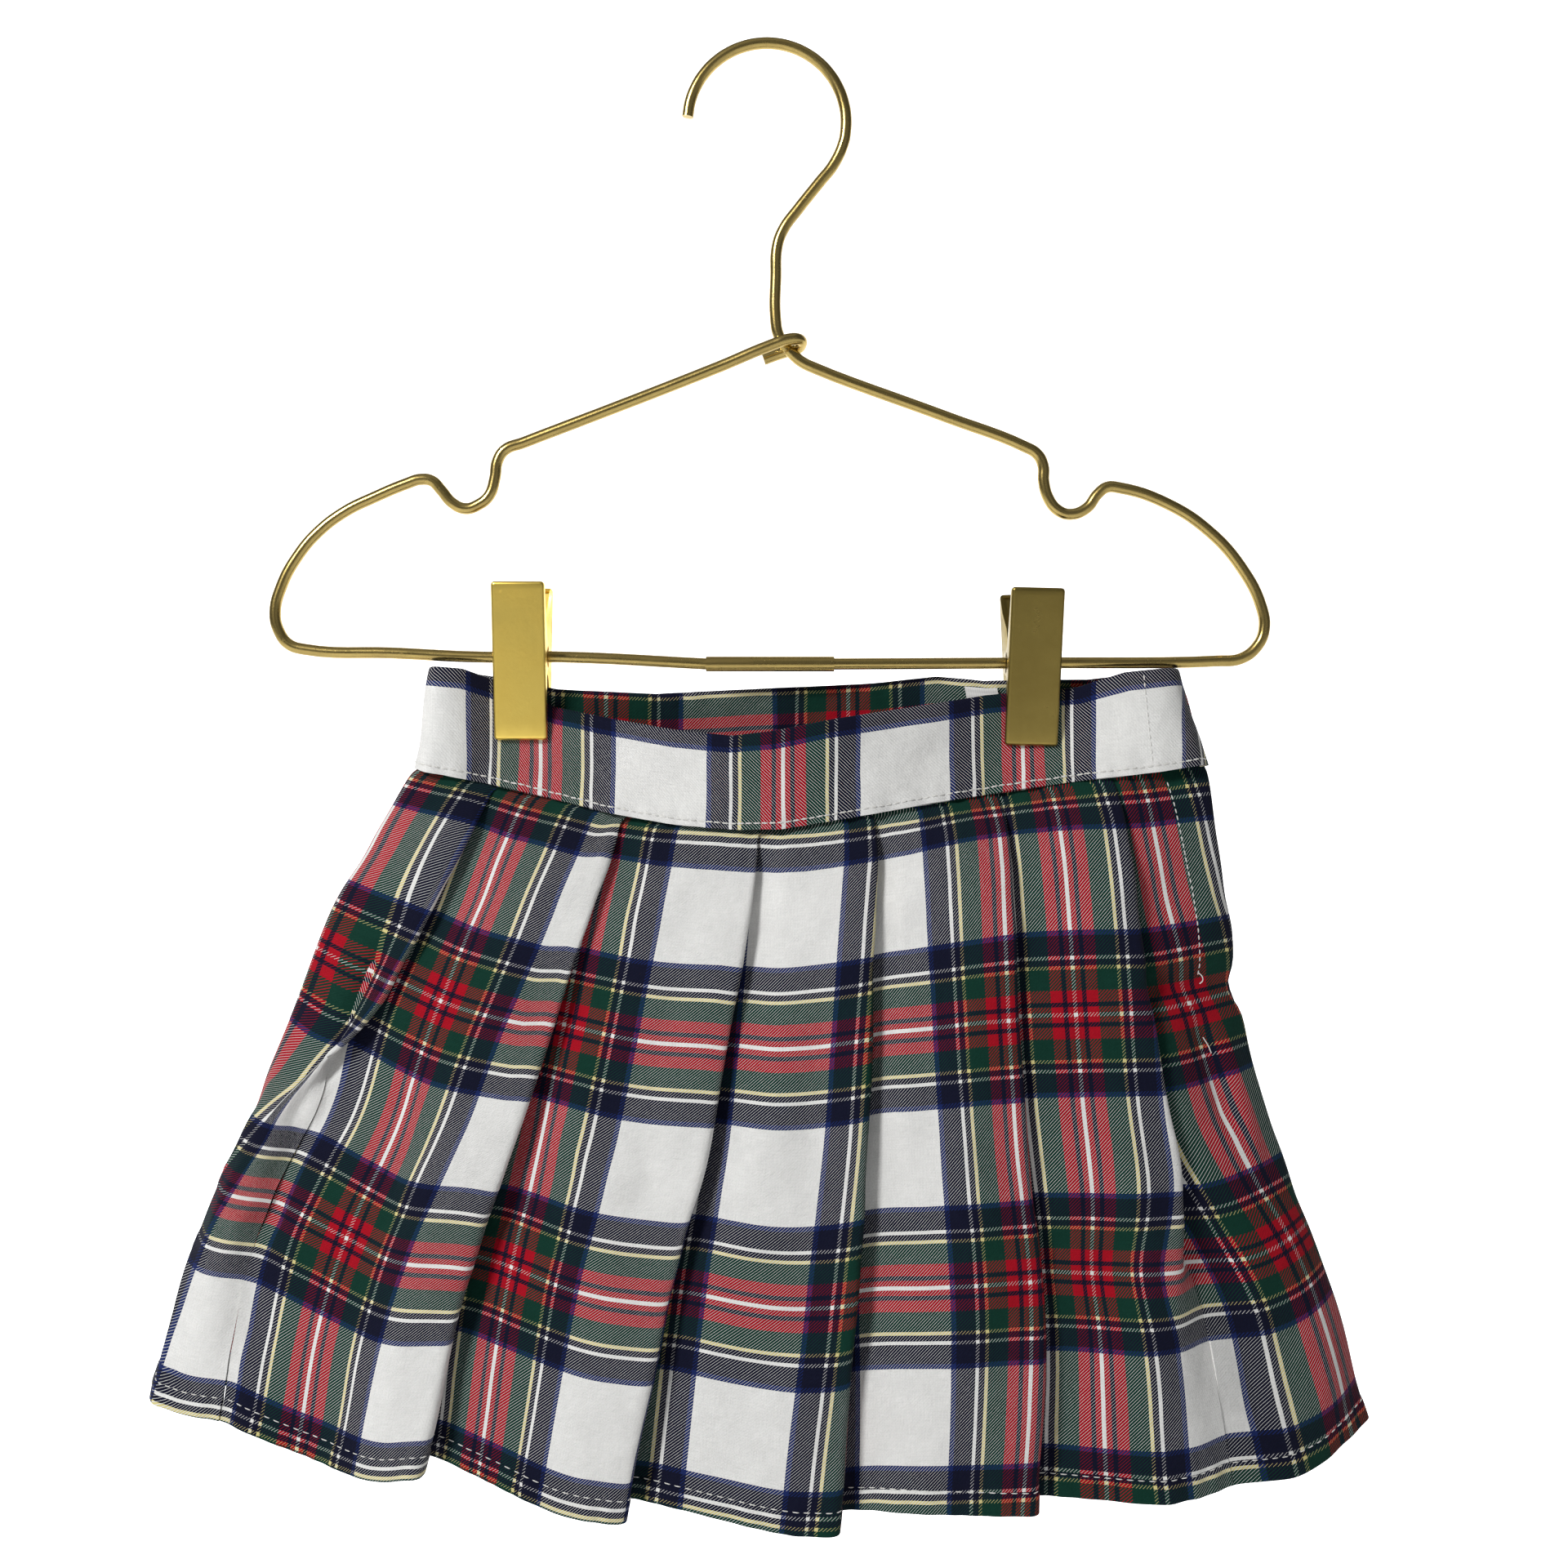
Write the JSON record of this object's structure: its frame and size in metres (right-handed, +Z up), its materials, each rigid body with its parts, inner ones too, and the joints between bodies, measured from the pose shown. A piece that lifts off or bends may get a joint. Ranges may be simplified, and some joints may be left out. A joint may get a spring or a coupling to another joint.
{
  "type": "pleated skirt on clip hanger",
  "caption": "Child's knife-pleated tartan skirt with a plain-depth waistband, hanging by its waist from the two spring clips of a gilt wire hanger.",
  "frame": {"origin": "the underside of the hook's top, where a rail carries the hanger", "axes": "+Z up, +X to the right of someone who faces the skirt, and the front of the skirt faces -Y"},
  "size_m": [0.367, 0.0842, 0.4319],
  "materials": {
    "wire_gold": "satin",
    "clip_gold": "satin",
    "band_cloth": "twill woven in a tartan on the cross grain",
    "skirt_cloth": "twill woven in a tartan",
    "elastic": "ribbed knitted tape"
  },
  "bodies": {
    "root": {"hanger_hook": "wire_gold", "hanger_arm_right": "wire_gold", "hanger_arm_left": "wire_gold", "hanger_bar_left": "wire_gold", "hanger_bar_right": "wire_gold", "hanger_sleeve": "wire_gold", "clip_left_front": "clip_gold", "clip_left_back": "clip_gold", "clip_left_spring": "clip_gold", "clip_left_boss_right": "clip_gold", "clip_left_boss_left": "clip_gold", "clip_right_front": "clip_gold", "clip_right_back": "clip_gold", "clip_right_spring": "clip_gold", "clip_right_boss_right": "clip_gold", "clip_right_boss_left": "clip_gold", "waistband_front": "band_cloth", "waistband_back": "band_cloth", "adjuster_elastic": "elastic", "skirt_front": "skirt_cloth", "skirt_side_right": "skirt_cloth", "skirt_back": "skirt_cloth", "skirt_side_left": "skirt_cloth"}
  },
  "joints": []
}
